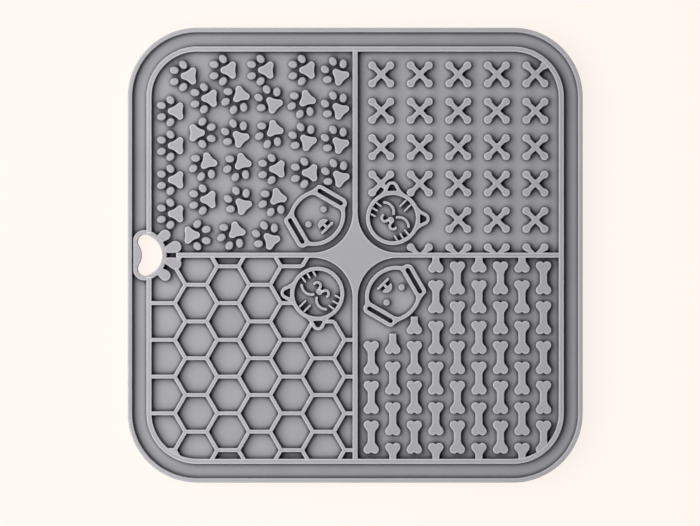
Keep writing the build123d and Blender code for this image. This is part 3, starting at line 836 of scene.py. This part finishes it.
crossPlaces = [
    placed(fieldHalf - crossSet["insetX"] - (crossSet["columns"] - 1 - column) * crossSet["pitchX"],
           fieldHalf - crossSet["insetY"] - row * crossSet["pitchY"])
    for column in range(crossSet["columns"]) for row in range(crossSet["rows"])
    if (column, row) not in crossSet["underCat"]
]
crossNubs = repeat("crossNubs", makeCross(), crossPlaces)
combine(crossNubs, makeKeeper(1, 1), "INTERSECT")
catTrim = makeCatTrim()
catTrim.data.transform(catPlaces["UpperRight"])
combine(crossNubs, catTrim, "DIFFERENCE")
finishPiece(crossNubs, matteSilicone, "cross_nubs")


# bones of the lower right quadrant

boneSet = {
    "columns": 9, "rows": 6, "pitchX": 9.47, "pitchY": 17.5, "firstX": 7.1, "firstY": 10.0, "length": 14.7,
    "width": 6.9, "shaft": 3.2, "lobe": 1.9, "shoulderDrop": 3.05, "shoulderTurn": 40.0, "neckRound": 2.4,
    "notchRound": 0.5, "stubRound": 0.5, "roll": 0.4, "oddFirst": 0.023, "oddPitch": 1.022,
    "underDog": {(0, 0), (0, 1), (1, 0), (1, 1), (2, 0)}, "stubs": {(1, 2): 0.24, (2, 1): 0.08},
    "lobeSteps": 10, "roundSteps": 4,
}


def boneEnd():
    # lower end from the right of the shaft to its left, with rounding radii
    half, lobe = boneSet["shaft"] / 2, boneSet["lobe"]
    out, down = boneSet["width"] / 2 - lobe, boneSet["length"] / 2 - lobe
    notch = degrees(atan2(sqrt(lobe**2 - out**2), out))
    turn, steps = boneSet["shoulderTurn"], boneSet["lobeSteps"]
    neck = -(down - boneSet["shoulderDrop"])
    left = arc((-out, -down), lobe, 180 - turn, 360 - notch, steps)[:-1]
    right = arc((out, -down), lobe, 180 + notch, 360 + turn, steps)
    corners = [(-half, neck), *left, *right, (half, neck)]
    radii = [boneSet["neckRound"]] + [0] * len(left) + [boneSet["notchRound"]] + [0] * (len(right) - 1)
    return corners, radii + [boneSet["neckRound"]]


def makeBone(top=None):
    corners, radii = boneEnd()
    if top is None:
        corners = corners + [(-x, -y) for x, y in corners]
        radii = radii * 2
    else:
        half = boneSet["shaft"] / 2
        corners = corners + [(half, top), (-half, top)]
        radii = radii + [boneSet["stubRound"]] * 2
    outline = roundCorners(corners, radii, boneSet["roundSteps"])
    return makeSlab("bone", outline, floorLevel, ribHeight - 2 * seamStep, boneSet["roll"])


def boneDown(column, row):
    # odd columns are staggered and a little more widely spaced
    if column % 2:
        return (boneSet["oddFirst"] + row * boneSet["oddPitch"]) * boneSet["pitchY"]
    return boneSet["firstY"] + row * boneSet["pitchY"]


def bonePlace(column, row):
    return placed(boneSet["firstX"] + column * boneSet["pitchX"], -boneDown(column, row))


bonePlaces = [
    bonePlace(column, row) for column in range(boneSet["columns"]) for row in range(boneSet["rows"])
    if (column, row) not in boneSet["underDog"] and (column, row) not in boneSet["stubs"]
    and boneDown(column, row) < fieldHalf + boneSet["length"] / 2
]
bones = [repeat("bones", makeBone(), bonePlaces)]
for spot, share in boneSet["stubs"].items():
    bones.append(repeat("stub", makeBone(share * boneSet["length"] / 2), [bonePlace(*spot)]))
boneNubs = joinAll("boneNubs", bones)
combine(boneNubs, makeKeeper(1, -1), "INTERSECT")
finishPiece(boneNubs, matteSilicone, "bone_nubs")


# honeycomb of the lower left quadrant: a bar for each side of a cell, merged into one web

combSet = {
    "pitch": 16.16, "rib": 1.75, "offsetY": 4.9, "columns": 8, "rows": 8, "roll": 0.3, "clearLeft": 1.33,
    "clearBottom": 1.56, "clearTop": 0.18, "holeClear": 1.6, "runOnFrom": 1.7, "runOn": 2.0,
}


def combIsClear(x, y):
    besideCat = x > -combSet["clearLeft"] * offset and (
        -combSet["clearBottom"] * offset < y < -combSet["clearTop"] * offset)
    underStar = min(x, y) > -dividerSet["starRadius"]
    besideHole = hypot(x - holeSet["x"], y) < combSet["holeClear"] * collarReach
    return besideCat or underStar or besideHole


def combBars():
    # middle and heading of every bar that is kept
    side = combSet["pitch"] / sqrt(3)
    for column in range(combSet["columns"]):
        for row in range(combSet["rows"]):
            x = -column * side * 3 / 2
            y = (0 if column % 2 else combSet["pitch"] / 2) - combSet["offsetY"] - row * combSet["pitch"]
            for turn in (90, 150, 210):
                barX = x + combSet["pitch"] / 2 * cos(radians(turn))
                barY = y + combSet["pitch"] / 2 * sin(radians(turn))
                if barX > -fieldHalf and not combIsClear(barX, barY):
                    yield barX, barY, turn + 90


def openJoints(bars):
    # joints where only two bars meet, turned towards the bar that is missing
    side = combSet["pitch"] / sqrt(3)
    joints = {}
    for x, y, heading in bars:
        for way in (heading, heading + 180):
            c, s = cos(radians(way)), sin(radians(way))
            spot = (round(x + side / 2 * c, 2), round(y + side / 2 * s, 2))
            joints.setdefault(spot, []).append((c, s))
    for (x, y), ways in joints.items():
        if len(ways) == 2:
            yield placed(x, y, degrees(atan2(ways[0][1] + ways[1][1], ways[0][0] + ways[1][0])))


def makeComb():
    half, side = combSet["rib"] / 2, combSet["pitch"] / sqrt(3)
    mitre = side / 2 - half / sqrt(3)
    bars = list(combBars())
    bar = [(side / 2, 0), (mitre, half), (-mitre, half), (-side / 2, 0), (-mitre, -half), (mitre, -half)]
    patch = [(0, 0), (half / sqrt(3), -half), (half / sqrt(3), half)]
    web = joinAll("honeycombRibs", [
        repeat("bars", drawPlate("bar", bar, floorLevel), [placed(*spot) for spot in bars]),
        repeat("patches", drawPlate("patch", patch, floorLevel), list(openJoints(bars))),
    ])
    takeUp(web)
    bpy.ops.object.mode_set(mode="EDIT")
    bpy.ops.mesh.select_all(action="SELECT")
    bpy.ops.mesh.remove_doubles(threshold=mergeGap * mm)
    bpy.ops.object.mode_set(mode="OBJECT")
    for vertex in web.data.vertices:
        if vertex.co.x < -(fieldHalf - combSet["runOnFrom"]) * mm:
            vertex.co.x -= combSet["runOn"] * mm
    pullUp(web, ribHeight - 3 * seamStep - combSet["roll"])
    rollEdge(web, combSet["roll"])
    return web


honeycombRibs = makeComb()
combine(honeycombRibs, makeKeeper(-1, -1), "INTERSECT")
catTrim = makeCatTrim()
catTrim.data.transform(catPlaces["LowerLeft"])
combine(honeycombRibs, catTrim, "DIFFERENCE")
finishPiece(honeycombRibs, matteSilicone, "honeycomb_ribs")


# suction cups under the sheet

cupSet = {
    "count": 4, "pitch": 46.0, "lip": 13.0, "land": 1.4, "lipThick": 0.7, "bowl": 1.8, "stem": 5.0,
    "waist": 4.6, "waistDrop": 0.35, "turns": 48, "arcSteps": 8, "mergeGap": 0.005,
    # how far inside the lip, and how high, its rounded edge passes
    "lipRound": ((0.12, 0.08), (0.35, 0.0)),
}
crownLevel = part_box("cup_skirts")[1].z / mm
cupMiddle = (cupSet["count"] - 1) / 2
cupPlaces = [placed((column - cupMiddle) * cupSet["pitch"], (row - cupMiddle) * cupSet["pitch"])
             for column in range(cupSet["count"]) for row in range(cupSet["count"])]


def turnProfile(name, profile, steps):
    # spins a profile of radius and height into a closed round piece
    deselectAll()
    bpy.ops.mesh.primitive_circle_add(
        vertices=len(profile), radius=mm, fill_type="NOTHING", location=(0, 0, 0))
    turnedPiece = bpy.context.object
    turnedPiece.name = turnedPiece.data.name = name
    for vertex, (radius, height) in zip(turnedPiece.data.vertices, profile):
        vertex.co = (radius * mm, 0, height * mm)
    bpy.ops.object.mode_set(mode="EDIT")
    bpy.ops.mesh.select_all(action="SELECT")
    bpy.ops.mesh.spin(steps=steps, angle=2 * pi, center=(0, 0, 0), axis=(0, 0, 1))
    bpy.ops.mesh.select_all(action="SELECT")
    bpy.ops.mesh.remove_doubles(threshold=cupSet["mergeGap"] * mm)
    bpy.ops.mesh.normals_make_consistent(inside=False)
    bpy.ops.object.mode_set(mode="OBJECT")
    return turnedPiece


def cupProfile():
    lip, land, thick, stem = cupSet["lip"], cupSet["land"], cupSet["lipThick"], cupSet["stem"]
    steps = cupSet["arcSteps"]
    run, fall = lip - stem, crownLevel - thick
    crownRadius = (run**2 + fall**2) / (2 * fall)  # skirt leaves the stem level and falls to the lip
    crownTurn = degrees(atan2(run, crownRadius - fall))
    skirt = arc((stem, crownLevel - crownRadius), crownRadius, 90, 90 - crownTurn, steps)
    inner = lip - land
    bowlRadius = (inner**2 + cupSet["bowl"]**2) / (2 * cupSet["bowl"])
    bowlTurn = degrees(atan2(inner, bowlRadius - cupSet["bowl"]))
    bowl = arc((0, cupSet["bowl"] - bowlRadius), bowlRadius, 90 - bowlTurn, 90, steps)
    edge = [(lip, thick / 2), *((lip - inside, height) for inside, height in cupSet["lipRound"])]
    return [(0, crownLevel), *skirt, *edge, *bowl]


cupSkirts = repeat("cupSkirts", turnProfile("cup", cupProfile(), cupSet["turns"]), cupPlaces)
finishPiece(cupSkirts, polishedSilicone, "cup_skirts", body="suction_cups")
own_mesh(cupSkirts)

stemProfile = [
    (0, crownLevel), (cupSet["stem"], crownLevel),
    (cupSet["waist"], crownLevel + cupSet["waistDrop"]), (cupSet["waist"], underLevel - cupSet["waistDrop"]),
    (cupSet["stem"], underLevel), (0, underLevel),
]
cupStems = repeat("cupStems", turnProfile("stem", stemProfile, cupSet["turns"]), cupPlaces)
finishPiece(cupStems, matteSilicone, "cup_stems")


# pale floor and soft light, with lengths in metres

stageSet = {
    "floorSide": 12.0, "floorColour": (0.09, 0.085, 0.08), "floorRough": 0.9,
    "glowColour": (0.915, 0.85, 0.80), "floorGlow": 1.0, "air": (1.0, 0.98, 0.96), "airStrength": 0.04,
}
deselectAll()
bpy.ops.mesh.primitive_plane_add(size=stageSet["floorSide"], location=(0, 0, 0))
studioFloor = bpy.context.object
studioFloor.name = "studioFloor"
paper = bpy.data.materials.new("paleFloor")
paper.use_nodes = True
paperShader = paper.node_tree.nodes["Principled BSDF"]
paperShader.inputs["Base Color"].default_value = (*stageSet["floorColour"], 1)
paperShader.inputs["Roughness"].default_value = stageSet["floorRough"]
paperShader.inputs["Emission Color"].default_value = (*stageSet["glowColour"], 1)
paperShader.inputs["Emission Strength"].default_value = stageSet["floorGlow"]
studioFloor.data.materials.append(paper)

# two soft boxes close by at the left, so that the light falls off towards the right
lightSet = {
    "upper": {"at": (-0.40, 0.26, 0.68), "size": 0.8, "power": 5.15, "colour": (1.0, 0.99, 0.99)},
    "lower": {"at": (-0.40, -0.26, 0.68), "size": 0.8, "power": 4.95, "colour": (1.0, 0.99, 0.99)},
}
for name, light in lightSet.items():
    deselectAll()
    bpy.ops.object.light_add(type="AREA", location=light["at"])
    lamp = bpy.context.object
    lamp.name = name + "Light"
    lamp.data.size = light["size"]
    lamp.data.energy = light["power"]
    lamp.data.color = light["colour"]
    lamp.rotation_euler = (-Vector(light["at"])).to_track_quat("-Z", "Y").to_euler()

world = bpy.data.worlds.new("studioAir")
world.use_nodes = True
world.node_tree.nodes["Background"].inputs["Color"].default_value = (*stageSet["air"], 1)
world.node_tree.nodes["Background"].inputs["Strength"].default_value = stageSet["airStrength"]
bpy.context.scene.world = world
bpy.context.scene.view_settings.view_transform = "Standard"
deselectAll()
print("stage lit")
